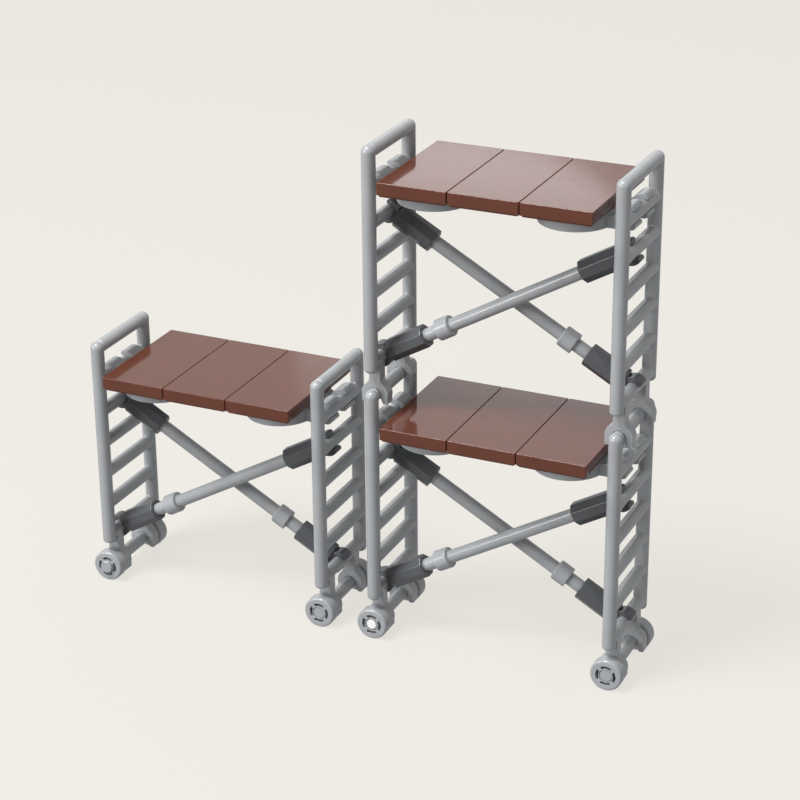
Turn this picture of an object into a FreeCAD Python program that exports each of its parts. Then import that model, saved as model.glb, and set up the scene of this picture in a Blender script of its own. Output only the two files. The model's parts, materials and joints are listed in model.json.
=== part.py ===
import FreeCAD, Part
import math
import os

# Toy-scale baker scaffold: a low one-bay tower on the left and a tall two-bay tower on the right.
# Each bay is two ladder end frames, a three-board deck on two clip brackets, and a crossed pair
# of brace rods held in four clip sockets. Bars of one diameter snap into C-shaped clips of one size.
# Frame: X runs along the decks, Y runs from front to back, Z is up. The origin is on the floor,
# at the middle of the whole object. Lengths are in millimetres.

# Bar and clip system
MODULE = 8.0                  # spacing of the rungs and of the studs
BAR_D = 3.0                   # every rung, brace rod and axle
BAR_FIT = 0.03                # radial clearance of a bar in a clip, socket or wheel
BAR_R = BAR_D / 2
RAIL_R = 1.55                 # rails of the ladder frames, a little thicker than the rungs
GRIP_R = BAR_R + BAR_FIT
STUD_D = 4.8
STUD_H = 1.7
PLATE_T = 3.2                 # thickness of a deck board and of a bracket plate

# Ladder end frames
LADDER_W = 20.4               # between the axes of the two rails
RUNG_COUNT = 6                # rungs below the top bar, the lowest one closes the frame
RAIL_FOOT = 2.1               # rail ends below the axis of the lowest rung
RAIL_FOOT_ROUND = 0.8
LADDER_PITCH = 7 * MODULE     # from the top bar down to the axis of the bottom clips
STALK_X = 2.8                 # width of the flat stalk above each bottom clip
STALK_T = 2.6                 # thickness of the stalk and the bottom clip, front to back
LADDER_CLIP_R = 3.2           # outer radius of the bottom clip
CLIP_PITCH = 13.0             # between the middles of the two bottom clips
CLIP_PAIR_Y = -0.8            # middle of the pair, from the middle of the ladder
CLIP_LEG_X = 3.1              # outside of the straight legs of the bottom clip
CLIP_LEG_Z = 2.1              # flat leg ends, below the clip axis
CLIP_LEG_IN_X = 1.9           # inside of the legs at their ends
CLIP_MOUTH_DEG = 110.0        # angle that the mouth of a clip leaves open
LEG_CORNER = 0.25             # rounding of the legs of the other clips

# Decks
BOARD_COUNT = 3
BOARD_PITCH = 2 * MODULE      # one board every two studs along the deck
BOARD_GAP = 0.2               # open seam between boards
BOARD_DEPTH = 4 * MODULE - BOARD_GAP
BOARD_EDGE = 0.18             # rounding of the top edges
BOARD_FOOT = 0.4              # height and inset of the groove round the bottom edge
BOARD_SKIN = 1.2              # top thickness over the hollow underside
BOARD_WALL = 1.5
TUBE_R = 3.1                  # underside tubes that grip the studs
DECK_BELOW_TOP_BAR = 4.4      # from the axis of a top bar down to the walking surface

# Deck brackets: a rounded plate with a tongue to mid-deck and two clips on the first rung
LADDER_FROM_MID = 28.3        # from the middle of a bay to the axis of its ladders
DECK_END = 1.5 * BOARD_PITCH
LOBE_R = 8.0                  # rounded ends of the bracket plate
LOBE_Y = 4.0                  # centres of those roundings from the middle
TONGUE_X = 2 * MODULE         # length of the narrow tongue, from mid-deck
TONGUE_Y = 6.5                # half width of the tongue
PLATE_Y = 8.0                 # half width of the plate at the deck end
BRACKET_GAP = 0.1             # half the joint between the two brackets of a deck
BRACKET_INSET = 0.1           # bracket end inside the deck end
BRACKET_CLIP_R = 2.7
BRACKET_CLIP_Y = 4.0          # clip centres from the middle
BRACKET_CLIP_W = 4.6

# Cross braces
UPPER_RUNG = 2                # rung that carries the two upper sockets of a bay
LOWER_RUNG = 6
SOCKET_CLIP_R = 2.75
SOCKET_CLIP_W = 3.0
SOCKET_AF = 5.0               # octagonal body, across flats
SOCKET_NECK = 2.3             # body start, from the clip axis
SOCKET_LEN = 12.0             # mouth, from the clip axis
SOCKET_BORE = 7.2             # depth of the round bore
SOCKET_CORNER = 0.35          # chamfer at the mouth
SOCKET_WEB = 3.2              # height of the web between the clip and the body
ROD_LEN = 6 * MODULE
BAR_END = 0.3                 # chamfer at the ends of rods and axles
RING_R = 2.4                  # stop ring moulded on the rod
RING_LEN = 3.5
RING_FROM_AXIS = 17.1         # ring centre from the axis of the lower rung
RING_CHAMFER = 0.45

# Front-to-back places of the falling rod and of the rising rod in each bay
BRACE_Y = {"tall_lower": (-0.1, -4.4), "tall_upper": (0.5, -3.8), "low": (-0.1, -4.4)}

# Wheels and axles
WHEEL_R = 3.7
WHEEL_W = 3.1
WHEEL_GAP = 0.3               # between a wheel and the clip beside it
WHEEL_ROUND = 0.45            # rounding of both rims
HUB_SLOT_R = 2.4              # outer radius of the four slots round the axle end
HUB_SLOT_DEPTH = 2.2
HUB_RIB = 0.45                # width of the four ribs between the slots
HUB_RIB_COUNT = 4
AXLE_END_INSET = 0.1          # axle end behind the wheel face
AXLE_SLIP = {"low_left": 0.8}  # this axle has slid forwards in its clips and stands proud in front

# Places of the two towers
TALL_X = 35.0
LOW_X = -35.0

X_AXIS = FreeCAD.Vector(1, 0, 0)
Y_AXIS = FreeCAD.Vector(0, 1, 0)
Z_AXIS = FreeCAD.Vector(0, 0, 1)
SIDES = {"left": -1, "right": 1}
LOWER_TOP_Z = WHEEL_R + LADDER_PITCH
UPPER_TOP_Z = LOWER_TOP_Z + LADDER_PITCH


def vec(x, y, z):
    return FreeCAD.Vector(x, y, z)


def box(x0, x1, y0, y1, z0, z1):
    return Part.makeBox(x1 - x0, y1 - y0, z1 - z0, vec(x0, y0, z0))


def bar(start, end, radius=BAR_R):
    run = end - start
    return Part.makeCylinder(radius, run.Length, start, run)


def clip_ring(outer_r, width, mouth_deg=CLIP_MOUTH_DEG):
    """C-shaped clip round the Y axis at the origin, with its mouth towards -X."""
    ring = Part.makeCylinder(outer_r, width, vec(0, -width / 2, 0), Y_AXIS)
    ring = ring.cut(Part.makeCylinder(GRIP_R, width + 2, vec(0, -width / 2 - 1, 0), Y_AXIS))
    reach = 2 * outer_r
    half = math.radians(mouth_deg / 2)
    corner_x = -reach * math.cos(half)
    corner_z = reach * math.sin(half)
    points = [vec(0, 0, 0), vec(corner_x, 0, corner_z), vec(-reach, 0, corner_z)]
    points += [vec(-reach, 0, -corner_z), vec(corner_x, 0, -corner_z), vec(0, 0, 0)]
    wedge = Part.Face(Part.makePolygon(points))
    wedge.translate(vec(0, -width / 2 - 1, 0))
    ring = ring.cut(wedge.extrude(vec(0, width + 2, 0)))
    tips = [edge for edge in ring.Edges if is_leg_tip(edge, width)]
    return ring.makeFillet(LEG_CORNER, tips)


def is_leg_tip(edge, width):
    """True for the straight edges along Y on the open side of a clip."""
    ends = [vertex.Point for vertex in edge.Vertexes]
    if len(ends) != 2 or edge.BoundBox.XMax > 0:
        return False
    along_y = abs(ends[0].y - ends[1].y) > width * 0.9
    return along_y and edge.BoundBox.XLength < 0.01 and edge.BoundBox.ZLength < 0.01


def ladder_clip():
    """Bottom clip of a ladder round the Y axis at the origin: mouth down, legs cut off flat."""
    half_t = STALK_T / 2
    body = Part.makeCylinder(LADDER_CLIP_R, STALK_T, vec(0, -half_t, 0), Y_AXIS)
    body = body.fuse(box(-CLIP_LEG_X, CLIP_LEG_X, -half_t, half_t, -CLIP_LEG_Z, 0))
    body = body.cut(box(-MODULE, MODULE, -half_t, half_t, -MODULE, -CLIP_LEG_Z))
    body = body.cut(Part.makeCylinder(GRIP_R, STALK_T, vec(0, -half_t, 0), Y_AXIS))
    half_mouth = math.radians(CLIP_MOUTH_DEG / 2)
    lip_x = GRIP_R * math.sin(half_mouth)
    lip_z = -GRIP_R * math.cos(half_mouth)
    points = [vec(0, -half_t, 0), vec(lip_x, -half_t, lip_z), vec(CLIP_LEG_IN_X, -half_t, -CLIP_LEG_Z)]
    points += [vec(-CLIP_LEG_IN_X, -half_t, -CLIP_LEG_Z), vec(-lip_x, -half_t, lip_z), points[0]]
    mouth = Part.Face(Part.makePolygon(points)).extrude(vec(0, STALK_T, 0))
    return body.cut(mouth)


def ladder():
    """Ladder end frame in its own frame: top bar axis at the origin, along Y."""
    half = LADDER_W / 2
    bottom = -RUNG_COUNT * MODULE
    pieces = []
    for side in (-1, 1):
        rail = bar(vec(0, side * half, bottom - RAIL_FOOT), vec(0, side * half, 0), RAIL_R)
        foot_edge = [edge for edge in rail.Edges if edge.BoundBox.ZMax < bottom]
        pieces.append(rail.makeFillet(RAIL_FOOT_ROUND, foot_edge))
        pieces.append(Part.makeSphere(RAIL_R, vec(0, side * half, 0)))
    for index in range(RUNG_COUNT + 1):
        z = -index * MODULE
        pieces.append(bar(vec(0, -half, z), vec(0, half, z)))
    clip = ladder_clip()
    for side in (-1, 1):
        mid_y = CLIP_PAIR_Y + side * CLIP_PITCH / 2
        foot = clip.copy()
        foot.translate(vec(0, mid_y, -LADDER_PITCH))
        stalk_foot = -LADDER_PITCH + (GRIP_R + LADDER_CLIP_R) / 2
        stalk = box(-STALK_X / 2, STALK_X / 2, mid_y - STALK_T / 2, mid_y + STALK_T / 2,
                    stalk_foot, bottom)
        pieces += [foot, stalk]
    return pieces[0].multiFuse(pieces[1:]).removeSplitter()


def deck_board():
    """One deck board, middle of its walking surface at the origin, hollow underneath."""
    half_x = (BOARD_PITCH - BOARD_GAP) / 2
    half_y = BOARD_DEPTH / 2
    body = box(-half_x, half_x, -half_y, half_y, -PLATE_T + BOARD_FOOT, 0)
    top_edges = [edge for edge in body.Edges if edge.BoundBox.ZMin > -0.01]
    body = body.makeFillet(BOARD_EDGE, top_edges)
    foot_x = half_x - BOARD_FOOT
    foot_y = half_y - BOARD_FOOT
    body = body.fuse(box(-foot_x, foot_x, -foot_y, foot_y, -PLATE_T, -BOARD_SKIN))
    in_x = half_x - BOARD_WALL
    in_y = half_y - BOARD_WALL
    body = body.cut(box(-in_x, in_x, -in_y, in_y, -PLATE_T - 1, -BOARD_SKIN))
    for index in (-1, 0, 1):
        centre = vec(0, index * MODULE, -PLATE_T)
        tube = Part.makeCylinder(TUBE_R, PLATE_T - BOARD_SKIN / 2, centre)
        bore = Part.makeCylinder(STUD_D / 2, PLATE_T - BOARD_SKIN, centre)
        body = body.fuse(tube).cut(bore)
    return body.removeSplitter()


def deck_bracket():
    """Right-hand deck bracket, middle of the deck's walking surface at the origin."""
    low = -2 * PLATE_T
    lobe_x = DECK_END - LOBE_R - BRACKET_INSET
    plate = box(BRACKET_GAP, TONGUE_X, -TONGUE_Y, TONGUE_Y, low, -PLATE_T)
    plate = plate.fuse(box(TONGUE_X, DECK_END - BRACKET_INSET, -PLATE_Y, PLATE_Y, low, -PLATE_T))
    plate = plate.fuse(box(lobe_x - LOBE_R, lobe_x + LOBE_R, -LOBE_Y, LOBE_Y, low, -PLATE_T))
    for side in (-1, 1):
        plate = plate.fuse(Part.makeCylinder(LOBE_R, PLATE_T, vec(lobe_x, side * LOBE_Y, low)))
    for column in range(BOARD_COUNT):
        for side in (-1, 1):
            stud_at = vec((column + 0.5) * MODULE, side * MODULE / 2, -PLATE_T)
            plate = plate.fuse(Part.makeCylinder(STUD_D / 2, STUD_H, stud_at))
    rung_z = DECK_BELOW_TOP_BAR - MODULE
    ring = clip_ring(BRACKET_CLIP_R, BRACKET_CLIP_W)
    ring.rotate(vec(0, 0, 0), Z_AXIS, 180)
    for side in (-1, 1):
        clip = ring.copy()
        clip.translate(vec(LADDER_FROM_MID, side * BRACKET_CLIP_Y, rung_z))
        y0 = side * BRACKET_CLIP_Y - BRACKET_CLIP_W / 2
        neck = box(DECK_END - MODULE / 2, LADDER_FROM_MID, y0, y0 + BRACKET_CLIP_W, low, rung_z)
        grip = Part.makeCylinder(GRIP_R, MODULE, vec(LADDER_FROM_MID, y0 - 1, rung_z), Y_AXIS)
        plate = plate.fuse(neck).fuse(clip).cut(grip)
    return plate.removeSplitter()


def brace_socket():
    """Brace socket: clip axis along Y at the origin, round bore opening towards +X."""
    radius = SOCKET_AF / 2 / math.cos(math.pi / 8)
    points = []
    for index in range(9):
        angle = math.pi / 8 + index * math.pi / 4
        points.append(vec(SOCKET_NECK, radius * math.cos(angle), radius * math.sin(angle)))
    body = Part.Face(Part.makePolygon(points)).extrude(vec(SOCKET_LEN - SOCKET_NECK, 0, 0))
    rim = [edge for edge in body.Edges if edge.BoundBox.XMin > SOCKET_LEN - 0.01]
    body = body.makeChamfer(SOCKET_CORNER, rim)
    clip = clip_ring(SOCKET_CLIP_R, SOCKET_CLIP_W)
    neck = box(BAR_R, 1.2 * SOCKET_NECK, -SOCKET_CLIP_W / 2, SOCKET_CLIP_W / 2,
               -SOCKET_WEB / 2, SOCKET_WEB / 2)
    neck = neck.cut(Part.makeCylinder(GRIP_R, 4 * BAR_D, vec(0, -2 * BAR_D, 0), Y_AXIS))
    bore = Part.makeCylinder(GRIP_R, SOCKET_BORE + 1, vec(SOCKET_LEN - SOCKET_BORE, 0, 0), X_AXIS)
    return body.fuse(neck).fuse(clip).cut(bore).removeSplitter()


def brace_rod(span):
    """Brace rod with its stop ring, from the upper rung axis at the origin along +X."""
    start = (span - ROD_LEN) / 2
    rod = bar(vec(start, 0, 0), vec(start + ROD_LEN, 0, 0))
    rod = rod.makeChamfer(BAR_END, [rod.Edges[0], rod.Edges[2]])
    ring_x = span - RING_FROM_AXIS - RING_LEN / 2
    ring = bar(vec(ring_x, 0, 0), vec(ring_x + RING_LEN, 0, 0), RING_R)
    upper_edge = [edge for edge in ring.Edges if edge.BoundBox.XMax < ring_x + 0.01]
    ring = ring.makeChamfer(RING_CHAMFER, upper_edge)
    return rod.fuse(ring).removeSplitter()


def wheel():
    """Front wheel, outer face towards -Y, middle of that face at the origin."""
    body = Part.makeCylinder(WHEEL_R, WHEEL_W, vec(0, 0, 0), Y_AXIS)
    rims = [edge for edge in body.Edges if edge.BoundBox.YLength < 0.01]
    body = body.makeFillet(WHEEL_ROUND, rims)
    slot = Part.makeCylinder(HUB_SLOT_R, HUB_SLOT_DEPTH, vec(0, 0, 0), Y_AXIS)
    for index in range(HUB_RIB_COUNT):
        rib = box(0, WHEEL_R, 0, HUB_SLOT_DEPTH, -HUB_RIB / 2, HUB_RIB / 2)
        rib.rotate(vec(0, 0, 0), Y_AXIS, 45 + index * 360 / HUB_RIB_COUNT)
        slot = slot.cut(rib)
    body = body.cut(slot)
    body = body.cut(Part.makeCylinder(GRIP_R, WHEEL_W + 2, vec(0, -1, 0), Y_AXIS))
    return body.removeSplitter()


def write(shape, name):
    if shape.ShapeType == "Compound" and len(shape.Solids) == 1:
        shape = shape.Solids[0]
    if len(shape.Solids) != 1 or not shape.isValid():
        raise ValueError(name + " is not one valid solid")
    shape.exportStep("parts/" + name + ".step")


def placed(shape, x=0, y=0, z=0, turn=0):
    """Copy of a shape, turned about the Z axis and then moved."""
    copy = shape.copy()
    copy.rotate(vec(0, 0, 0), Z_AXIS, turn)
    copy.translate(vec(x, y, z))
    return copy


def along(shape, start, end):
    """Copy of a shape whose own X axis then runs from start towards end, in the XZ plane."""
    run = end - start
    copy = shape.copy()
    copy.rotate(vec(0, 0, 0), Y_AXIS, -math.degrees(math.atan2(run.z, run.x)))
    copy.translate(start)
    return copy


def write_braces(bay, mid_x, top_z, socket, rod):
    upper_z = top_z - UPPER_RUNG * MODULE
    lower_z = top_z - LOWER_RUNG * MODULE
    for label, y, upper_side in zip(("rear", "front"), BRACE_Y[bay], (-1, 1)):
        upper = vec(mid_x + upper_side * LADDER_FROM_MID, y, upper_z)
        lower = vec(mid_x - upper_side * LADDER_FROM_MID, y, lower_z)
        write(along(socket, upper, lower), f"{bay}_{label}_brace_upper_socket")
        write(along(socket, lower, upper), f"{bay}_{label}_brace_lower_socket")
        write(along(rod, upper, lower), f"{bay}_{label}_brace_rod")


def write_bay(bay, mid_x, top_z, pieces):
    """One bay: two ladders, the deck with its brackets, and the crossed braces."""
    deck_z = top_z - DECK_BELOW_TOP_BAR
    for name, side in SIDES.items():
        write(placed(pieces["ladder"], mid_x + side * LADDER_FROM_MID, 0, top_z), f"{bay}_ladder_{name}")
        turn = 0 if side > 0 else 180
        write(placed(pieces["bracket"], mid_x, 0, deck_z, turn), f"{bay}_deck_bracket_{name}")
    for index, name in enumerate(("left", "middle", "right")):
        x = mid_x + (index - 1) * BOARD_PITCH
        write(placed(pieces["board"], x, 0, deck_z), f"{bay}_deck_board_{name}")
    write_braces(bay, mid_x, top_z, pieces["socket"], pieces["rod"])


def write_wheels(tower, mid_x, wheel_shape):
    reach = CLIP_PITCH / 2 + STALK_T / 2 + WHEEL_GAP + WHEEL_W
    front_y = CLIP_PAIR_Y - reach
    rear_y = CLIP_PAIR_Y + reach
    for name, side in SIDES.items():
        x = mid_x + side * LADDER_FROM_MID
        write(placed(wheel_shape, x, front_y, WHEEL_R), f"{tower}_{name}_wheel_front")
        write(placed(wheel_shape, x, rear_y, WHEEL_R, 180), f"{tower}_{name}_wheel_rear")
        slip = AXLE_SLIP.get(f"{tower}_{name}", 0.0)
        front_end = vec(x, front_y + AXLE_END_INSET - slip, WHEEL_R)
        axle = bar(front_end, vec(x, rear_y - AXLE_END_INSET - slip, WHEEL_R))
        axle = axle.makeChamfer(BAR_END, [axle.Edges[0], axle.Edges[2]])
        write(axle, f"{tower}_{name}_axle")


def main():
    os.makedirs("parts", exist_ok=True)
    rise = (LOWER_RUNG - UPPER_RUNG) * MODULE
    span = math.hypot(2 * LADDER_FROM_MID, rise)
    pieces = {"ladder": ladder(), "board": deck_board(), "bracket": deck_bracket()}
    pieces["socket"] = brace_socket()
    pieces["rod"] = brace_rod(span)
    write_bay("low", LOW_X, LOWER_TOP_Z, pieces)
    write_bay("tall_lower", TALL_X, LOWER_TOP_Z, pieces)
    write_bay("tall_upper", TALL_X, UPPER_TOP_Z, pieces)
    wheel_shape = wheel()
    write_wheels("low", LOW_X, wheel_shape)
    write_wheels("tall", TALL_X, wheel_shape)


main()
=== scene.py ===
import json
import math

import bmesh
import bpy
from mathutils import Matrix, Vector

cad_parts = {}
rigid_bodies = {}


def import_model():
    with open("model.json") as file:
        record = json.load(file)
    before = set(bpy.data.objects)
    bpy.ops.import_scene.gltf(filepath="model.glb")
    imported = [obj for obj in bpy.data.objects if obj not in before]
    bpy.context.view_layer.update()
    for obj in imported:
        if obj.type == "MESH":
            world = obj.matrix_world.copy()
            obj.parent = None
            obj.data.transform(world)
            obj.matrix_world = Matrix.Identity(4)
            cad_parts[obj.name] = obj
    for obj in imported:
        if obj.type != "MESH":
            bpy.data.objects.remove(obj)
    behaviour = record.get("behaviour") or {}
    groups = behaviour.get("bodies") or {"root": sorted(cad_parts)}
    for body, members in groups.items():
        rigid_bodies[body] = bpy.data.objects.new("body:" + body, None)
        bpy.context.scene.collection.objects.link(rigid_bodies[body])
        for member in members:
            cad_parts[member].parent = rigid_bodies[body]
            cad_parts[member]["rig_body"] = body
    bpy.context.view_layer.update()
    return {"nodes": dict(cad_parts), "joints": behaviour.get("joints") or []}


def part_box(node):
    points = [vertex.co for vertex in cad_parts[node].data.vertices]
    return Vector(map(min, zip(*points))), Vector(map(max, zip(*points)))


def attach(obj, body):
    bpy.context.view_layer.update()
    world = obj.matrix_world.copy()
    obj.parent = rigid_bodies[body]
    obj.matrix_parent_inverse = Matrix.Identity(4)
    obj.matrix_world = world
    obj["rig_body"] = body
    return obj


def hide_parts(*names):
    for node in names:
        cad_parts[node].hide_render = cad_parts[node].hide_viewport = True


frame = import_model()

# Toy baker scaffold in glossy moulded plastic. Every shape is built here in millimetres, in the
# same local frame as its CAD part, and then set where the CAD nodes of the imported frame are.
MM = 0.001

# Bars and clips
MODULE = 8.0
BAR_R = 1.5
RAIL_R = 1.55
GRIP_R = 1.53                 # bore of every clip, socket and wheel
MOUTH_HALF = math.radians(55)  # half of a clip's opening
CLIP_EDGE = 0.12

# Fineness of the meshes
ROUND_STEPS = 56              # sides of a bar's circle
WHEEL_STEPS = 72
ARC_STEP = math.radians(7.5)
CORNER_STEPS = 4
RIM_STEPS = 3
MERGE = 0.0008                # points closer than this become one
SHARP = math.radians(32)      # an edge turned by more than this stays sharp

# Ladder
LADDER_W = 20.4
RUNG_COUNT = 6
RAIL_FOOT = 2.1               # rail ends below the axis of the lowest rung
RAIL_FOOT_ROUND = 0.8
WELD_R = 0.38                 # moulded fillet where a rung meets a rail
WELD_LEAST = 0.02
WELD_FALL = 1.5               # how fast the fillet thins towards the rung's sides
WELD_TURNS = (0, 22, 42, 60, 76, 90)
RUNG_SUNK = 0.35              # rung runs on into the rail
STALK_X = 2.8
FOOT_T = 2.6
FOOT_PITCH = 13.0
FOOT_PAIR_Y = -0.8
FOOT_CLIP_R = 3.2
FOOT_BLEND = 1.0              # fillet between the stalk and the clip
CLIP_LEG_X = 3.1
CLIP_LEG_Z = 2.1
CLIP_LEG_IN_X = 1.9
CLIP_LEG_ROUND = 0.25
CLIP_LEG_TURN = 62            # degrees turned by the corner at a leg's inner side
CLIP_LEG_MISS = 6             # degrees of bore that this corner takes off
FOOT_EDGE = 0.16

# Deck boards
BOARD_X = 15.86
BOARD_Y = 31.8
PLATE_T = 3.2
BOARD_EDGE = 0.14
BOARD_CORNER = 0.3
BOARD_FOOT = 0.4              # step round the board's lower rim
BOARD_FOOT_EDGE = 0.06
BOARD_SKIN = 1.2
BOARD_WALL = 1.5
HOLLOW_CORNER = 0.4
HOLLOW_EDGE = 0.15
TUBE_R = 3.1
TUBE_EDGE = 0.12
TUBE_SUNK = 0.2
STUD_R = 2.4
STUD_H = 1.7
STUD_EDGE = 0.15
STUD_SUNK = 0.3

# Deck brackets, from the middle of the walking surface
LADDER_FROM_MID = 28.3
DECK_END = 23.9
LOBE_R = 8.0
LOBE_Y = 4.0
TONGUE_Y = 6.5
BRACKET_GAP = 0.1
BRACKET_CLIP_R = 2.7
BRACKET_CLIP_Y = 4.0
BRACKET_CLIP_W = 4.6
RUNG_BELOW_DECK = 3.6
PLATE_EDGE = 0.18
NECK_LEAN = 0.35
NECK_CORNER = 0.15

# Brace sockets and rods
SOCKET_CLIP_R = 2.75
SOCKET_CLIP_W = 3.0
SOCKET_AF = 5.0
SOCKET_NECK = 2.3
SOCKET_LEN = 12.0
SOCKET_BORE = 7.2
SOCKET_CORNER = 0.3
SOCKET_EDGE = 0.22
SOCKET_WEB = 3.2
SOCKET_WEB_EDGE = 0.1
SOCKET_WEB_OUT = 0.2          # web runs into the clip's ring
SOCKET_WEB_IN = 1.0           # and into the body
SOCKET_LEAD = 0.3             # chamfer at the mouth of the bore
SOCKET_PAST = 0.05
ROD_LEN = 48.0
RING_R = 2.4
RING_LEN = 3.5
RING_FROM_AXIS = 17.1
RING_ROUND = 0.4
RING_EDGE = 0.15
RING_STEP = (0.12, 0.1)       # small chamfer where the ring meets the bar
BAR_END = 0.3

# Wheels
WHEEL_R = 3.7
WHEEL_W = 3.1
WHEEL_ROUND = 0.5
HUB_SLOT_R = 2.36
HUB_SLOT_IN_R = 1.68
HUB_SLOT_DEPTH = 2.2
HUB_RIB = 0.8
AXLE_EDGE = 0.25
# Off-white disc on one axle's front end: a painted highlight standing in for the bright reflection on
# that end face
HIGHLIGHT_DISC_R = 1.12
HIGHLIGHT_DISC_T = 0.3
HIGHLIGHT_DISC_EDGE = 0.08
HIGHLIGHT_DISC_PROUD = 0.12


# ---------------------------------------------------------------- outlines and solids

AXIS_TURN = {
    "Z": Matrix.Identity(4),
    "Y": Matrix(((1, 0, 0, 0), (0, 0, -1, 0), (0, 1, 0, 0), (0, 0, 0, 1))),
    "X": Matrix(((0, 0, 1, 0), (1, 0, 0, 0), (0, 1, 0, 0), (0, 0, 0, 1))),
}


def arc(cx, cy, radius, start_deg, end_deg):
    """Points along an arc, both ends included."""
    start, end = math.radians(start_deg), math.radians(end_deg)
    steps = max(2, int(math.ceil(abs(end - start) / ARC_STEP)))
    points = []
    for i in range(steps + 1):
        a = start + (end - start) * i / steps
        points.append((cx + radius * math.cos(a), cy + radius * math.sin(a)))
    return points


def rounded_corners(corners, radius):
    """A closed outline of straight sides, given anticlockwise, with every corner rounded."""
    points = []
    count = len(corners)
    for i in range(count):
        here = Vector(corners[i])
        back = (Vector(corners[i - 1]) - here).normalized()
        ahead = (Vector(corners[(i + 1) % count]) - here).normalized()
        half = math.acos(max(-1.0, min(1.0, back.dot(ahead)))) / 2
        centre = here + (back + ahead).normalized() * (radius / math.sin(half))
        first = here + back * (radius / math.tan(half)) - centre
        last = here + ahead * (radius / math.tan(half)) - centre
        a0 = math.atan2(first.y, first.x)
        a1 = math.atan2(last.y, last.x)
        turn = (a1 - a0 + math.pi) % (2 * math.pi) - math.pi
        for step in range(CORNER_STEPS + 1):
            a = a0 + turn * step / CORNER_STEPS
            points.append((centre.x + radius * math.cos(a), centre.y + radius * math.sin(a)))
    return points


def new_mesh(name, bm):
    bmesh.ops.recalc_face_normals(bm, faces=bm.faces)
    mesh = bpy.data.meshes.new(name)
    bm.to_mesh(mesh)
    bm.free()
    return mesh


def prism(name, outline, depth, edge, axis="Y", at=(0, 0, 0)):
    """An outline extruded half its depth each way from at, with its two rims rounded by edge.

    Along Y the outline's points are (x, z); along Z they are (x, y); along X they are (y, z)."""
    bm = bmesh.new()
    verts = [bm.verts.new((x, y, -depth / 2)) for x, y in outline]
    face = bm.faces.new(verts)
    made = bmesh.ops.extrude_face_region(bm, geom=[face])
    top = [v for v in made["geom"] if isinstance(v, bmesh.types.BMVert)]
    bmesh.ops.translate(bm, verts=top, vec=(0, 0, depth))
    if edge > 0:
        rims = [e for e in bm.edges if abs(e.verts[0].co.z - e.verts[1].co.z) < 1e-6]
        bmesh.ops.bevel(bm, geom=rims, offset=edge, segments=RIM_STEPS, profile=0.5,
                        affect="EDGES", clamp_overlap=True)
    bmesh.ops.transform(bm, matrix=AXIS_TURN[axis], verts=bm.verts)
    bmesh.ops.translate(bm, verts=bm.verts, vec=at)
    return new_mesh(name, bm)


def lathe(name, profile, axis="Z", at=(0, 0, 0), closed=False, steps=ROUND_STEPS):
    """A profile of (radius, height) points turned about an axis.

    An open profile starts and ends on the axis; a closed one makes a ring."""
    bm = bmesh.new()
    rings = []
    for radius, height in profile:
        if radius < 1e-9:
            rings.append([bm.verts.new((0, 0, height))])
            continue
        ring = []
        for i in range(steps):
            a = 2 * math.pi * i / steps
            ring.append(bm.verts.new((radius * math.cos(a), radius * math.sin(a), height)))
        rings.append(ring)
    pairs = list(zip(rings, rings[1:]))
    if closed:
        pairs.append((rings[-1], rings[0]))
    for low, high in pairs:
        for i in range(steps):
            j = (i + 1) % steps
            if len(low) == 1:
                bm.faces.new((low[0], high[i], high[j]))
            elif len(high) == 1:
                bm.faces.new((low[i], low[j], high[0]))
            else:
                bm.faces.new((low[i], low[j], high[j], high[i]))
    bmesh.ops.transform(bm, matrix=AXIS_TURN[axis], verts=bm.verts)
    bmesh.ops.translate(bm, verts=bm.verts, vec=at)
    return new_mesh(name, bm)


def rounded_profile(length, radius, edge, start=0.0):
    """Profile of a solid cylinder from start, with rounded rims."""
    low = [(radius - edge + x, start + edge + y) for x, y in arc(0, 0, edge, -90, 0)]
    high = [(radius - edge + x, start + length - edge + y) for x, y in arc(0, 0, edge, 0, 90)]
    return [(0, start)] + low + high + [(0, start + length)]


def combine(name, base, others, operation="UNION"):
    """Base mesh with the other meshes joined to it or cut from it, as one closed mesh."""
    body = bpy.data.objects.new(name, base)
    bpy.context.scene.collection.objects.link(body)
    group = bpy.data.collections.new(name + "_tools")
    tools = []
    for mesh in others:
        tool = bpy.data.objects.new(mesh.name, mesh)
        group.objects.link(tool)
        tools.append(tool)
    boolean = body.modifiers.new("join", "BOOLEAN")
    boolean.operation = operation
    boolean.solver = "EXACT"
    boolean.operand_type = "COLLECTION"
    boolean.collection = group
    bpy.context.view_layer.update()
    result = bpy.data.meshes.new_from_object(
        body.evaluated_get(bpy.context.evaluated_depsgraph_get()))
    result.name = name
    for tool in tools:
        bpy.data.objects.remove(tool)
    bpy.data.collections.remove(group)
    bpy.data.objects.remove(body)
    return result


def finish_mesh(mesh):
    """Cleans a mesh in millimetres, shades it smooth between its sharp edges and scales it."""
    bm = bmesh.new()
    bm.from_mesh(mesh)
    bmesh.ops.remove_doubles(bm, verts=bm.verts, dist=MERGE)
    bmesh.ops.dissolve_degenerate(bm, dist=MERGE, edges=bm.edges)
    bmesh.ops.recalc_face_normals(bm, faces=bm.faces)
    for face in bm.faces:
        face.smooth = True
    for edge in bm.edges:
        if len(edge.link_faces) == 2:
            edge.smooth = edge.calc_face_angle(0.0) < SHARP
    bmesh.ops.scale(bm, vec=(MM, MM, MM), verts=bm.verts)
    bm.to_mesh(mesh)
    bm.free()
    mesh.materials.clear()
    return weighted(mesh)


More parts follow.
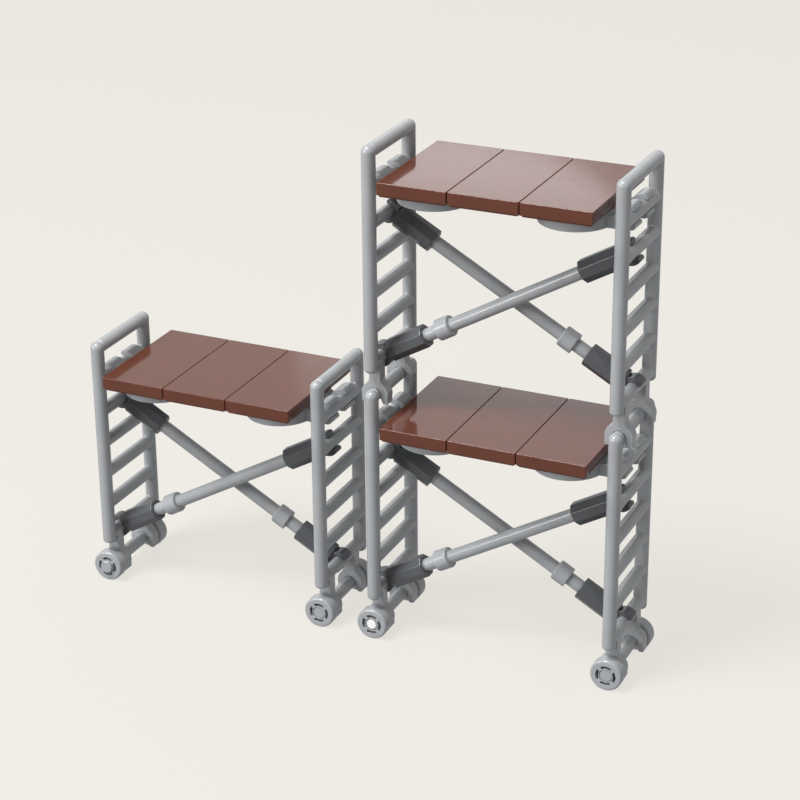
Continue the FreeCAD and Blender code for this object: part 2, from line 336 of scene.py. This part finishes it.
def weighted(mesh):
    """The mesh with its normals weighted by area, so that flat faces stay flat up to their rims."""
    body = bpy.data.objects.new("weighted", mesh)
    bpy.context.scene.collection.objects.link(body)
    modifier = body.modifiers.new("normals", "WEIGHTED_NORMAL")
    modifier.mode = "FACE_AREA_WITH_ANGLE"
    modifier.weight = 100
    modifier.keep_sharp = True
    bpy.context.view_layer.update()
    result = bpy.data.meshes.new_from_object(
        body.evaluated_get(bpy.context.evaluated_depsgraph_get()))
    result.name = mesh.name
    bpy.data.objects.remove(body)
    return result


# ---------------------------------------------------------------- parts

def rung(name, z, rail_above=True, rail_below=True):
    """A bar along Y between the rails, its ends flared into a moulded fillet above and below."""
    half = LADDER_W / 2
    bm = bmesh.new()
    rows = []
    fillet = [math.sin(math.radians(a)) for a in WELD_TURNS]
    for side in (-1, 1):
        rings = []
        for s in fillet + [None]:
            ring = []
            for i in range(ROUND_STEPS):
                a = 2 * math.pi * i / ROUND_STEPS
                x = BAR_R * math.cos(a)
                upper = math.sin(a) > 0
                share = abs(math.sin(a)) ** WELD_FALL
                if (upper and not rail_above) or (not upper and not rail_below):
                    share = 0.0
                weld = WELD_R * share
                face_y = half - math.sqrt(RAIL_R ** 2 - x ** 2)
                if s is None:
                    y = face_y + RUNG_SUNK
                    rise = weld
                else:
                    y = face_y - max(weld, WELD_LEAST) * (1 - s)
                    rise = weld * (1 - math.sqrt(max(0.0, 1 - s * s)))
                radial = BAR_R + rise
                ring.append(bm.verts.new((x, side * y, z + radial * math.sin(a))))
            rings.append(ring)
        rows.append(rings)
    order = list(reversed(rows[0])) + rows[1]
    for low, high in zip(order, order[1:]):
        for i in range(ROUND_STEPS):
            j = (i + 1) % ROUND_STEPS
            bm.faces.new((low[i], low[j], high[j], high[i]))
    bm.faces.new(order[0])
    bm.faces.new(order[-1])
    return new_mesh(name, bm)


def clip_outline(outer_r, blend, stalk_half, stalk_top):
    """Half of the outline of a ladder foot in the XZ plane, from the stalk's top to the bore's top."""
    centre_x = stalk_half + blend
    centre_z = math.sqrt((outer_r + blend) ** 2 - centre_x ** 2)
    touch = math.degrees(math.atan2(centre_z, centre_x))
    mouth = -90 + math.degrees(MOUTH_HALF)
    points = [(stalk_half, stalk_top)]
    points += arc(centre_x, centre_z, blend, 180, 180 + touch)
    side = math.degrees(math.acos(CLIP_LEG_X / outer_r))
    points += arc(0, 0, outer_r, touch, -side)[1:]
    r = CLIP_LEG_ROUND
    points += arc(CLIP_LEG_X - r, r - CLIP_LEG_Z, r, 0, -90)
    points += arc(CLIP_LEG_IN_X + r, r - CLIP_LEG_Z, r, -90, -90 - CLIP_LEG_TURN)
    points += arc(0, 0, GRIP_R, mouth + CLIP_LEG_MISS, 90)
    return points


def ladder_foot(name, y):
    """One stalk with its downward clip, clip axis a ladder pitch below the top bar."""
    half = clip_outline(FOOT_CLIP_R, FOOT_BLEND, STALK_X / 2, MODULE)
    outline = half + [(-x, z) for x, z in reversed(half[:-1])]
    return prism(name, outline, FOOT_T, FOOT_EDGE, "Y", (0, y, -7 * MODULE))


def ladder_mesh():
    """Ladder end frame, middle of its top bar at the origin."""
    half = LADDER_W / 2
    length = RUNG_COUNT * MODULE
    foot = -length - RAIL_FOOT
    e = RAIL_FOOT_ROUND
    profile = [(0, foot)] + [(RAIL_R - e + x, foot + e + y) for x, y in arc(0, 0, e, -90, 0)]
    profile += arc(0, 0, RAIL_R, 0, 90)[:-1] + [(0, RAIL_R)]
    rails = [lathe(f"rail{side}", profile, at=(0, side * half, 0)) for side in (-1, 1)]
    others = [rails[1]]
    for index in range(RUNG_COUNT + 1):
        others.append(rung(f"rung{index}", -index * MODULE, index > 0, index < RUNG_COUNT))
    for side in (-1, 1):
        others.append(ladder_foot(f"foot{side}", FOOT_PAIR_Y + side * FOOT_PITCH / 2))
    return finish_mesh(combine("ladder", rails[0], others))


def board_mesh():
    """Deck board, middle of its walking surface at the origin."""
    outer = rounded_corners(
        [(-BOARD_X / 2, -BOARD_Y / 2), (BOARD_X / 2, -BOARD_Y / 2),
         (BOARD_X / 2, BOARD_Y / 2), (-BOARD_X / 2, BOARD_Y / 2)], BOARD_CORNER)
    top_t = PLATE_T - BOARD_FOOT
    top = prism("board_top", outer, top_t, BOARD_EDGE, "Z", (0, 0, -top_t / 2))
    fx, fy = BOARD_X / 2 - BOARD_FOOT, BOARD_Y / 2 - BOARD_FOOT
    inner = rounded_corners([(-fx, -fy), (fx, -fy), (fx, fy), (-fx, fy)], BOARD_CORNER)
    foot_t = PLATE_T - BOARD_SKIN / 2
    foot = prism("board_foot", inner, foot_t, BOARD_FOOT_EDGE, "Z", (0, 0, -PLATE_T + foot_t / 2))
    solid = combine("board", top, [foot])
    hx, hy = BOARD_X / 2 - BOARD_WALL, BOARD_Y / 2 - BOARD_WALL
    hollow_shape = rounded_corners([(-hx, -hy), (hx, -hy), (hx, hy), (-hx, hy)], HOLLOW_CORNER)
    hollow_t = PLATE_T - BOARD_SKIN
    hollow = prism("hollow", hollow_shape, 2 * hollow_t, HOLLOW_EDGE, "Z", (0, 0, -PLATE_T))
    solid = combine("board", solid, [hollow], "DIFFERENCE")
    tubes = []
    for index in (-1, 0, 1):
        height = hollow_t + TUBE_SUNK
        ring = [(TUBE_R, height), (STUD_R, height), (STUD_R, TUBE_EDGE), (STUD_R + TUBE_EDGE, 0),
                (TUBE_R - TUBE_EDGE, 0), (TUBE_R, TUBE_EDGE)]
        tubes.append(lathe(f"tube{index}", ring, at=(0, index * MODULE, -PLATE_T), closed=True))
    return finish_mesh(combine("board", solid, tubes))


def stud_profile():
    """A stud, its foot sunk a little into the plate."""
    return rounded_profile(STUD_H + STUD_SUNK, STUD_R, STUD_EDGE, -STUD_SUNK)


def clip_ring(name, outer_r, width, y, turn_deg, at_x=0.0, at_z=0.0):
    """A C-shaped clip round an axis along Y, its mouth towards turn_deg, with rounded legs."""
    half = math.degrees(MOUTH_HALF)
    mid_r = (outer_r + GRIP_R) / 2
    tip_r = (outer_r - GRIP_R) / 2
    a0 = turn_deg + half
    a1 = turn_deg + 360 - half
    lean = math.degrees(tip_r / mid_r)
    first, last = a0 + lean, a1 - lean
    outline = arc(0, 0, outer_r, first, last)
    end = math.radians(last)
    outline += arc(mid_r * math.cos(end), mid_r * math.sin(end), tip_r, last, last + 180)[1:-1]
    outline += arc(0, 0, GRIP_R, last, first)
    end = math.radians(first)
    outline += arc(mid_r * math.cos(end), mid_r * math.sin(end), tip_r, first + 180, first + 360)[1:-1]
    outline = [(x + at_x, z + at_z) for x, z in outline]
    return prism(name, outline, width, CLIP_EDGE, "Y", (0, y, 0))


def bracket_mesh():
    """Right-hand deck bracket, middle of the deck's walking surface at the origin."""
    end_x = DECK_END
    lobe_x = end_x - LOBE_R
    side_x = lobe_x - math.sqrt(LOBE_R ** 2 - (TONGUE_Y - LOBE_Y) ** 2)
    side_deg = 180 - math.degrees(math.asin((TONGUE_Y - LOBE_Y) / LOBE_R))
    upper = [(BRACKET_GAP, TONGUE_Y), (side_x, TONGUE_Y)]
    upper += arc(lobe_x, LOBE_Y, LOBE_R, side_deg, 0)[1:]
    outline = list(reversed(upper)) + [(x, -y) for x, y in upper]
    mid_z = -1.5 * PLATE_T
    plate = prism("plate", outline, PLATE_T, PLATE_EDGE, "Z", (0, 0, mid_z))
    others = []
    for column in range(3):
        for side in (-1, 1):
            at = ((column + 0.5) * MODULE, side * MODULE / 2, -PLATE_T)
            others.append(lathe(f"stud{column}{side}", stud_profile(), at=at))
    for side in (-1, 1):
        y = side * BRACKET_CLIP_Y
        others.append(clip_ring(f"clip{side}", BRACKET_CLIP_R, BRACKET_CLIP_W, y, 0,
                                LADDER_FROM_MID, -RUNG_BELOW_DECK))
        low = -2 * PLATE_T
        near, far = end_x - MODULE / 2, LADDER_FROM_MID - GRIP_R
        neck = rounded_corners([(near, low), (far, low), (far - NECK_LEAN, -RUNG_BELOW_DECK),
                                (near, -RUNG_BELOW_DECK)], NECK_CORNER)
        others.append(prism(f"neck{side}", neck, BRACKET_CLIP_W, CLIP_EDGE, "Y", (0, y, 0)))
    return finish_mesh(combine("bracket", plate, others))


def socket_mesh():
    """Brace socket: clip axis along Y at the origin, round bore opening towards +X."""
    radius = SOCKET_AF / 2 / math.cos(math.pi / 8)
    corners = []
    for index in range(8):
        a = math.pi / 8 + index * math.pi / 4
        corners.append((radius * math.cos(a), radius * math.sin(a)))
    outline = rounded_corners(corners, SOCKET_CORNER)
    length = SOCKET_LEN - SOCKET_NECK
    body = prism("socket_body", outline, length, SOCKET_EDGE, "X", (SOCKET_NECK + length / 2, 0, 0))
    clip = clip_ring("socket_clip", SOCKET_CLIP_R, SOCKET_CLIP_W, 0, 180)
    near, far, half = GRIP_R + SOCKET_WEB_OUT, SOCKET_NECK + SOCKET_WEB_IN, SOCKET_WEB / 2
    web = rounded_corners([(near, -half), (far, -half), (far, half), (near, half)], SOCKET_WEB_EDGE)
    neck = prism("socket_neck", web, SOCKET_CLIP_W, SOCKET_WEB_EDGE, "Y")
    solid = combine("socket", body, [clip, neck])
    start = SOCKET_LEN - SOCKET_BORE
    past = SOCKET_LEN + SOCKET_PAST
    lead = [(0, start), (GRIP_R, start), (GRIP_R, past - SOCKET_LEAD), (GRIP_R + SOCKET_LEAD, past),
            (0, past)]
    bore = lathe("socket_bore", lead, axis="X")
    return finish_mesh(combine("socket", solid, [bore], "DIFFERENCE"))


def brace_rod_mesh(span):
    """Brace rod along +X from the upper rung's axis at the origin."""
    start = (span - ROD_LEN) / 2
    ring_0 = span - RING_FROM_AXIS - RING_LEN / 2
    ring_1 = ring_0 + RING_LEN
    profile = [(0, start), (BAR_R - BAR_END, start), (BAR_R, start + BAR_END)]
    along, out = RING_STEP
    profile += [(BAR_R, ring_0 - along), (BAR_R + out, ring_0)]
    profile += [(RING_R - RING_ROUND + x, ring_0 + RING_ROUND + y)
                for x, y in arc(0, 0, RING_ROUND, -90, 0)]
    e = RING_EDGE
    profile += [(RING_R - e + x, ring_1 - e + y) for x, y in arc(0, 0, e, 0, 90)]
    profile += [(BAR_R + out, ring_1), (BAR_R, ring_1 + along)]
    end = start + ROD_LEN
    profile += [(BAR_R, end - BAR_END), (BAR_R - BAR_END, end), (0, end)]
    return finish_mesh(lathe("brace_rod", profile, axis="X"))


def wheel_mesh():
    """Front wheel, outer face towards -Y, middle of that face at the origin."""
    e = WHEEL_ROUND
    profile = [(WHEEL_R - e + x, WHEEL_W - e + y) for x, y in arc(0, 0, e, 90, 0)]
    profile += [(WHEEL_R - e + x, e + y) for x, y in arc(0, 0, e, 0, -90)]
    profile += [(GRIP_R, 0), (GRIP_R, WHEEL_W)]
    body = lathe("wheel_body", [(r, -h) for r, h in profile], axis="Y", closed=True, steps=WHEEL_STEPS)
    slots = []
    for index in range(4):
        middle = index * 90
        gap_out = math.degrees(HUB_RIB / 2 / HUB_SLOT_R)
        gap_in = math.degrees(HUB_RIB / 2 / HUB_SLOT_IN_R)
        outline = arc(0, 0, HUB_SLOT_R, middle - 45 + gap_out, middle + 45 - gap_out)
        outline += arc(0, 0, HUB_SLOT_IN_R, middle + 45 - gap_in, middle - 45 + gap_in)
        slots.append(prism(f"slot{index}", outline, 2 * HUB_SLOT_DEPTH, 0, "Y"))
    return finish_mesh(combine("wheel", body, slots, "DIFFERENCE"))


def axle_mesh(length):
    """Axle along +Y from the origin."""
    profile = rounded_profile(length, BAR_R, AXLE_EDGE)
    return finish_mesh(lathe("axle", [(r, -h) for r, h in profile], axis="Y"))


def painted_highlight_disc_mesh():
    """Small off-white disc on an axle's front end, its outer face towards -Y: a painted highlight on the
    end face.
    """
    profile = rounded_profile(HIGHLIGHT_DISC_T, HIGHLIGHT_DISC_R, HIGHLIGHT_DISC_EDGE, -HIGHLIGHT_DISC_PROUD)
    return finish_mesh(lathe("painted_highlight_disc", [(r, -h) for r, h in profile], axis="Y"))


# ---------------------------------------------------------------- materials

PLASTIC_IOR = 1.53
NOISE_SPAN = (0.3, 0.7)       # the range that a noise mostly keeps to
PIGMENT_SCALE = 140.0         # noise scales are in turns per metre
PIGMENT_VARIATION = 0.06
HAZE_SCALE = 260.0
HAZE_LEAST, HAZE_MOST = 0.8, 1.3
WEAR_SCALE = 900.0
WEAR_REACH = 0.00035
WEAR_TURN = (0.995, 0.9)      # cosine of the turn at which wear starts, and is full
WEAR_PATCHES = (0.38, 0.62)
WEAR_ROUGHNESS = 0.2
SWELL_SCALE = 190.0
GRAIN_SCALE = 2600.0
GRAIN_SHARE = 0.04
BUMP_STRENGTH, BUMP_DEPTH = 0.08, 0.00005


def node(tree, kind, **inputs):
    """New node with its inputs set; an underscore stands for a space in an input's name."""
    made = tree.nodes.new(kind)
    for key, value in inputs.items():
        made.inputs[key.replace("_", " ")].default_value = value
    return made


def link(tree, source, target):
    tree.links.new(source, target)


def mapped(tree, value, low, high, out_low, out_high):
    """A socket's value taken from one range to another, and held inside it."""
    ranged = tree.nodes.new("ShaderNodeMapRange")
    ranged.inputs["From Min"].default_value = low
    ranged.inputs["From Max"].default_value = high
    ranged.inputs["To Min"].default_value = out_low
    ranged.inputs["To Max"].default_value = out_high
    link(tree, value, ranged.inputs["Value"])
    return ranged.outputs["Result"]


def blended(tree, factor, first, second):
    """Colour between two colours; each of the three may be a socket or a value."""
    mix = tree.nodes.new("ShaderNodeMix")
    mix.data_type = "RGBA"
    for socket, value in ((mix.inputs[0], factor), (mix.inputs[6], first), (mix.inputs[7], second)):
        if isinstance(value, bpy.types.NodeSocket):
            link(tree, value, socket)
        else:
            socket.default_value = value
    return mix.outputs[2]


def noise(tree, coords, scale, detail, roughness=0.5):
    made = node(tree, "ShaderNodeTexNoise", Scale=scale, Detail=detail, Roughness=roughness)
    link(tree, coords, made.inputs["Vector"])
    return made.outputs["Fac"]


def calculated(tree, operation, *values):
    """Result of a Math node on sockets and plain numbers."""
    made = tree.nodes.new("ShaderNodeMath")
    made.operation = operation
    for socket, value in zip(made.inputs, values):
        if isinstance(value, bpy.types.NodeSocket):
            link(tree, value, socket)
        else:
            socket.default_value = value
    return made.outputs[0]


def pigment(tree, coords, colour):
    """The plastic's colour, slightly cloudy."""
    dark = [c * (1 - PIGMENT_VARIATION) for c in colour] + [1]
    light = [c * (1 + PIGMENT_VARIATION) for c in colour] + [1]
    cloud = mapped(tree, noise(tree, coords, PIGMENT_SCALE, 4.0, 0.55), *NOISE_SPAN, 0, 1)
    return blended(tree, cloud, dark, light)


def edge_wear(tree, coords):
    """1 where an edge is rubbed, 0 on flat faces, in patches."""
    rounded = node(tree, "ShaderNodeBevel", Radius=WEAR_REACH)
    rounded.samples = 6
    dot = tree.nodes.new("ShaderNodeVectorMath")
    dot.operation = "DOT_PRODUCT"
    link(tree, rounded.outputs["Normal"], dot.inputs[0])
    link(tree, tree.nodes.new("ShaderNodeNewGeometry").outputs["Normal"], dot.inputs[1])
    turned = mapped(tree, dot.outputs["Value"], *WEAR_TURN, 0, 1)
    patchy = mapped(tree, noise(tree, coords, WEAR_SCALE, 3.0), *WEAR_PATCHES, 0, 1)
    return calculated(tree, "MULTIPLY", turned, patchy)


def surface_bump(tree, coords):
    """Faint swell of a moulded skin with a fine grain on it."""
    swell = noise(tree, coords, SWELL_SCALE, 1.0)
    height = calculated(tree, "MULTIPLY_ADD", noise(tree, coords, GRAIN_SCALE, 2.0), GRAIN_SHARE, swell)
    bump = node(tree, "ShaderNodeBump", Strength=BUMP_STRENGTH, Distance=BUMP_DEPTH)
    link(tree, height, bump.inputs["Height"])
    return bump.outputs["Normal"]


def moulded_plastic(name, colour, worn, roughness=0.16, wear_share=0.3):
    """Glossy moulded plastic: cloudy pigment, rubbed edges, a little haze and a faint swell."""
    material = bpy.data.materials.new(name)
    material.use_nodes = True
    tree = material.node_tree
    shader = tree.nodes["Principled BSDF"]
    shader.inputs["IOR"].default_value = PLASTIC_IOR
    coords = tree.nodes.new("ShaderNodeTexCoord").outputs["Object"]
    wear = edge_wear(tree, coords)
    share = calculated(tree, "MULTIPLY", wear, wear_share)
    colours = blended(tree, share, pigment(tree, coords, colour), worn + [1])
    link(tree, colours, shader.inputs["Base Color"])
    haze = noise(tree, coords, HAZE_SCALE, 6.0, 0.6)
    rough = mapped(tree, haze, *NOISE_SPAN, HAZE_LEAST * roughness, HAZE_MOST * roughness)
    link(tree, calculated(tree, "MULTIPLY_ADD", wear, WEAR_ROUGHNESS, rough), shader.inputs["Roughness"])
    link(tree, surface_bump(tree, coords), shader.inputs["Normal"])
    return material


# ---------------------------------------------------------------- assembly

MATERIALS = {
    "light_grey_plastic": moulded_plastic("light_grey_plastic", [0.36, 0.37, 0.38],
                                          [0.52, 0.53, 0.54]),
    "dark_grey_plastic": moulded_plastic("dark_grey_plastic", [0.085, 0.089, 0.094],
                                         [0.19, 0.195, 0.20]),
    "brown_plastic": moulded_plastic("brown_plastic", [0.115, 0.034, 0.018], [0.22, 0.09, 0.06],
                                     roughness=0.07, wear_share=0.15),
}
# Off-white finish of the disc that paints a highlight on one axle's end
PAINTED_HIGHLIGHT_MATERIAL = moulded_plastic("painted_highlight_white", [0.88, 0.88, 0.87], [0.93, 0.93, 0.92])


def place(node_name, mesh, matrix, slot_name):
    """Puts a finished mesh where its CAD node is, and shows it in that node's place."""
    piece = bpy.data.objects.new(node_name + "_moulded", mesh)
    bpy.context.scene.collection.objects.link(piece)
    piece.matrix_world = matrix
    if not mesh.materials:
        mesh.materials.append(MATERIALS[slot_name])
    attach(piece, frame["nodes"][node_name]["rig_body"])
    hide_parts(node_name)
    return piece


def moved_to(x, y, z):
    return Matrix.Translation((x, y, z))


def middle(node_name):
    """Middle of a CAD node's box at rest."""
    low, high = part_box(node_name)
    return (low + high) / 2


def build_deck_and_ladders(bay, ladder, bracket, board):
    centre = middle(f"{bay}_deck_board_middle").x
    deck_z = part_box(f"{bay}_deck_board_middle")[1].z
    for side, turn in (("left", math.pi), ("right", 0.0)):
        low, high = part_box(f"{bay}_ladder_{side}")
        top = moved_to((low.x + high.x) / 2, 0, high.z - RAIL_R * MM)
        place(f"{bay}_ladder_{side}", ladder, top, "light_grey_plastic")
        turned = moved_to(centre, 0, deck_z) @ Matrix.Rotation(turn, 4, "Z")
        place(f"{bay}_deck_bracket_{side}", bracket, turned, "light_grey_plastic")
    for which in ("left", "middle", "right"):
        x = middle(f"{bay}_deck_board_{which}").x
        place(f"{bay}_deck_board_{which}", board, moved_to(x, 0, deck_z), "brown_plastic")


def rung_to_rung(axis):
    """Distance along a brace between the axes of the two rungs that it joins."""
    return 2 * LADDER_FROM_MID * MM / abs(axis.x)


def build_brace(name, joint, socket, rod):
    """One brace: a socket at each end, both facing along the rod, and the rod."""
    pos, axis = Vector(joint["pos_m"]), Vector(joint["axis"])
    span = rung_to_rung(axis)
    down = Matrix.Rotation(-math.atan2(axis.z, axis.x), 4, "Y")
    back = Matrix.Rotation(-math.atan2(-axis.z, -axis.x), 4, "Y")
    upper = Matrix.Translation(pos - axis * (span / 2)) @ down
    lower = Matrix.Translation(pos + axis * (span / 2)) @ back
    place(f"{name}_upper_socket", socket, upper, "dark_grey_plastic")
    place(f"{name}_lower_socket", socket, lower, "dark_grey_plastic")
    place(f"{name}_rod", rod, upper, "light_grey_plastic")


def build_bays():
    ladder, board, bracket, socket = ladder_mesh(), board_mesh(), bracket_mesh(), socket_mesh()
    joints = {j["name"]: j for j in frame["joints"]}
    rod = brace_rod_mesh(rung_to_rung(Vector(joints["low_rear_brace_spin"]["axis"])) / MM)
    for bay in ("low", "tall_lower", "tall_upper"):
        build_deck_and_ladders(bay, ladder, bracket, board)
        for label in ("rear", "front"):
            brace = f"{bay}_{label}_brace"
            build_brace(brace, joints[brace + "_spin"], socket, rod)


def build_wheels():
    wheel = wheel_mesh()
    low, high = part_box("low_left_axle")
    axle = axle_mesh((high.y - low.y) / MM)
    for tower in ("low", "tall"):
        for side in ("left", "right"):
            name = f"{tower}_{side}"
            front, rear = middle(f"{name}_wheel_front"), middle(f"{name}_wheel_rear")
            front_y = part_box(f"{name}_wheel_front")[0].y
            rear_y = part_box(f"{name}_wheel_rear")[1].y
            facing = moved_to(front.x, front_y, front.z)
            place(f"{name}_wheel_front", wheel, facing, "light_grey_plastic")
            turned = moved_to(rear.x, rear_y, rear.z) @ Matrix.Rotation(math.pi, 4, "Z")
            place(f"{name}_wheel_rear", wheel, turned, "light_grey_plastic")
            axle_end = moved_to(front.x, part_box(f"{name}_axle")[0].y, front.z)
            place(f"{name}_axle", axle, axle_end, "light_grey_plastic")
            # Painted highlight: an off-white disc on the front end of this one axle
            if name == "tall_left":
                add_painted_highlight_disc(name, axle_end)


def add_painted_highlight_disc(name, matrix):
    """The one off-white disc, in the hub of the tall tower's front left wheel: a painted highlight on
    the axle's end face.
    """
    mesh = painted_highlight_disc_mesh()
    mesh.materials.append(PAINTED_HIGHLIGHT_MATERIAL)
    highlight_piece = bpy.data.objects.new(f"{name}_axle_end_cap", mesh)
    bpy.context.scene.collection.objects.link(highlight_piece)
    highlight_piece.matrix_world = matrix
    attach(highlight_piece, frame["nodes"][f"{name}_axle"]["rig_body"])


# ---------------------------------------------------------------- studio

CAMERA_AT = (0.20656, -0.42697, 0.26306)
CAMERA_AZ, CAMERA_EL, CAMERA_ROLL = 24.84926859, 23.83136366, -0.49183157
CAMERA_LENS = 103.75
LIT_MIDDLE = (0, 0, 0.05)
KEY_SIZE = (0.45, 0.45)
FILL_SIZE = (0.7, 0.7)
FLOOR_HALF = 4.0
BACKGROUND = (0.863, 0.839, 0.783)
FLOOR_GLOW = 0.825
FLOOR_MATT = 0.12
SKY_BELOW, SKY_ABOVE, SKY_LOBE = 0.40, 0.5, 0.33
SKY_FADE = 0.35               # sine of the height over which the sky goes from below to above
LOBE_EDGE = 0.86              # cosine at which the glow towards the panel begins
KEY_AT, KEY_POWER = (-0.31, -0.42, 1.1), 14.0
FILL_AT, FILL_POWER = (-0.75, -1.0, 0.5), 8.0
PANEL_AT = (-0.37, 0.92, 0.49)  # the softbox behind, which the decks mirror
PANEL_SIZE = (0.26, 0.16)
PANEL_LOW, PANEL_HIGH = 1.85, 1.08
PANEL_FADE = 0.045            # below its middle, where its brightness begins to fall


def build_camera():
    """Camera in front, to the right and a little above, rolled by half a degree."""
    az, el, roll = (math.radians(v) for v in (CAMERA_AZ, CAMERA_EL, CAMERA_ROLL))
    ahead = Vector((-math.sin(az) * math.cos(el), math.cos(az) * math.cos(el), -math.sin(el)))
    right = ahead.cross(Vector((0, 0, 1))).normalized()
    up = right.cross(ahead)
    right, up = (math.cos(roll) * right + math.sin(roll) * up,
                 math.cos(roll) * up - math.sin(roll) * right)
    data = bpy.data.cameras.new("camera")
    data.lens = CAMERA_LENS
    data.sensor_width = 36.0
    data.clip_start, data.clip_end = 0.01, 20.0
    camera = bpy.data.objects.new("camera", data)
    bpy.context.scene.collection.objects.link(camera)
    turn = Matrix((right, up, -ahead)).transposed().to_4x4()
    camera.matrix_world = Matrix.Translation(CAMERA_AT) @ turn
    bpy.context.scene.camera = camera


def area_light(name, place_at, target, size, power):
    """Oval soft light aimed at a point."""
    data = bpy.data.lights.new(name, "AREA")
    data.shape = "ELLIPSE"
    data.size, data.size_y = size
    data.energy = power
    light = bpy.data.objects.new(name, data)
    bpy.context.scene.collection.objects.link(light)
    aim = Vector(target) - Vector(place_at)
    light.matrix_world = Matrix.Translation(place_at) @ aim.to_track_quat("-Z", "Y").to_matrix().to_4x4()


def build_floor():
    """Plain pale floor that only the camera sees; it catches soft shadows."""
    bm = bmesh.new()
    bmesh.ops.create_grid(bm, x_segments=2, y_segments=2, size=FLOOR_HALF)
    floor = bpy.data.objects.new("floor", new_mesh("floor", bm))
    bpy.context.scene.collection.objects.link(floor)
    floor.visible_diffuse = False
    floor.visible_glossy = False
    material = bpy.data.materials.new("floor")
    material.use_nodes = True
    tree = material.node_tree
    tree.nodes.clear()
    output = tree.nodes.new("ShaderNodeOutputMaterial")
    glow = node(tree, "ShaderNodeEmission", Color=(*BACKGROUND, 1), Strength=FLOOR_GLOW)
    matt = node(tree, "ShaderNodeBsdfDiffuse", Color=[c * FLOOR_MATT for c in BACKGROUND] + [1])
    both = tree.nodes.new("ShaderNodeAddShader")
    link(tree, glow.outputs[0], both.inputs[0])
    link(tree, matt.outputs[0], both.inputs[1])
    link(tree, both.outputs[0], output.inputs["Surface"])
    floor.data.materials.append(material)


def build_sky():
    """Soft white room: dim from below, brighter from above and towards the back panel."""
    world = bpy.data.worlds.new("studio")
    bpy.context.scene.world = world
    world.use_nodes = True
    tree = world.node_tree
    ray = tree.nodes.new("ShaderNodeTexCoord").outputs["Generated"]
    parts = tree.nodes.new("ShaderNodeSeparateXYZ")
    link(tree, ray, parts.inputs[0])
    level = mapped(tree, parts.outputs["Z"], -SKY_FADE, SKY_FADE, SKY_BELOW, SKY_ABOVE)
    facing = tree.nodes.new("ShaderNodeVectorMath")
    facing.operation = "DOT_PRODUCT"
    facing.inputs[1].default_value = (Vector(PANEL_AT) - Vector((0, 0, 0.08))).normalized()
    link(tree, ray, facing.inputs[0])
    lobe = mapped(tree, facing.outputs["Value"], LOBE_EDGE, 1.0, 0, SKY_LOBE)
    total = tree.nodes.new("ShaderNodeMath")
    link(tree, level, total.inputs[0])
    link(tree, lobe, total.inputs[1])
    backdrop = tree.nodes["Background"]
    backdrop.inputs["Color"].default_value = (0.98, 0.99, 1.0, 1)
    link(tree, total.outputs[0], backdrop.inputs["Strength"])


def build_panel():
    """Oval softbox, brighter at its lower edge; only reflections see it."""
    bm = bmesh.new()
    bmesh.ops.create_circle(bm, cap_ends=True, segments=96, radius=0.5)
    bmesh.ops.transform(bm, matrix=AXIS_TURN["Y"], verts=bm.verts)
    bmesh.ops.scale(bm, vec=(PANEL_SIZE[0], 1, PANEL_SIZE[1]), verts=bm.verts)
    panel = bpy.data.objects.new("softbox", new_mesh("softbox", bm))
    panel.location = PANEL_AT
    bpy.context.scene.collection.objects.link(panel)
    panel.visible_camera = False
    panel.visible_diffuse = False
    panel.visible_shadow = False
    material = bpy.data.materials.new("softbox")
    material.use_nodes = True
    tree = material.node_tree
    tree.nodes.clear()
    output = tree.nodes.new("ShaderNodeOutputMaterial")
    glow = node(tree, "ShaderNodeEmission", Color=(1, 1, 1, 1))
    parts = tree.nodes.new("ShaderNodeSeparateXYZ")
    link(tree, tree.nodes.new("ShaderNodeTexCoord").outputs["Object"], parts.inputs[0])
    level = mapped(tree, parts.outputs["Z"], -PANEL_FADE, 0.0, PANEL_LOW, PANEL_HIGH)
    link(tree, level, glow.inputs["Strength"])
    link(tree, glow.outputs[0], output.inputs["Surface"])
    panel.data.materials.append(material)


def build_studio():
    build_floor()
    build_sky()
    area_light("key", KEY_AT, LIT_MIDDLE, KEY_SIZE, KEY_POWER)
    area_light("fill", FILL_AT, LIT_MIDDLE, FILL_SIZE, FILL_POWER)
    build_panel()
    bpy.context.scene.view_settings.view_transform = "Standard"


build_bays()
build_wheels()
build_studio()
build_camera()
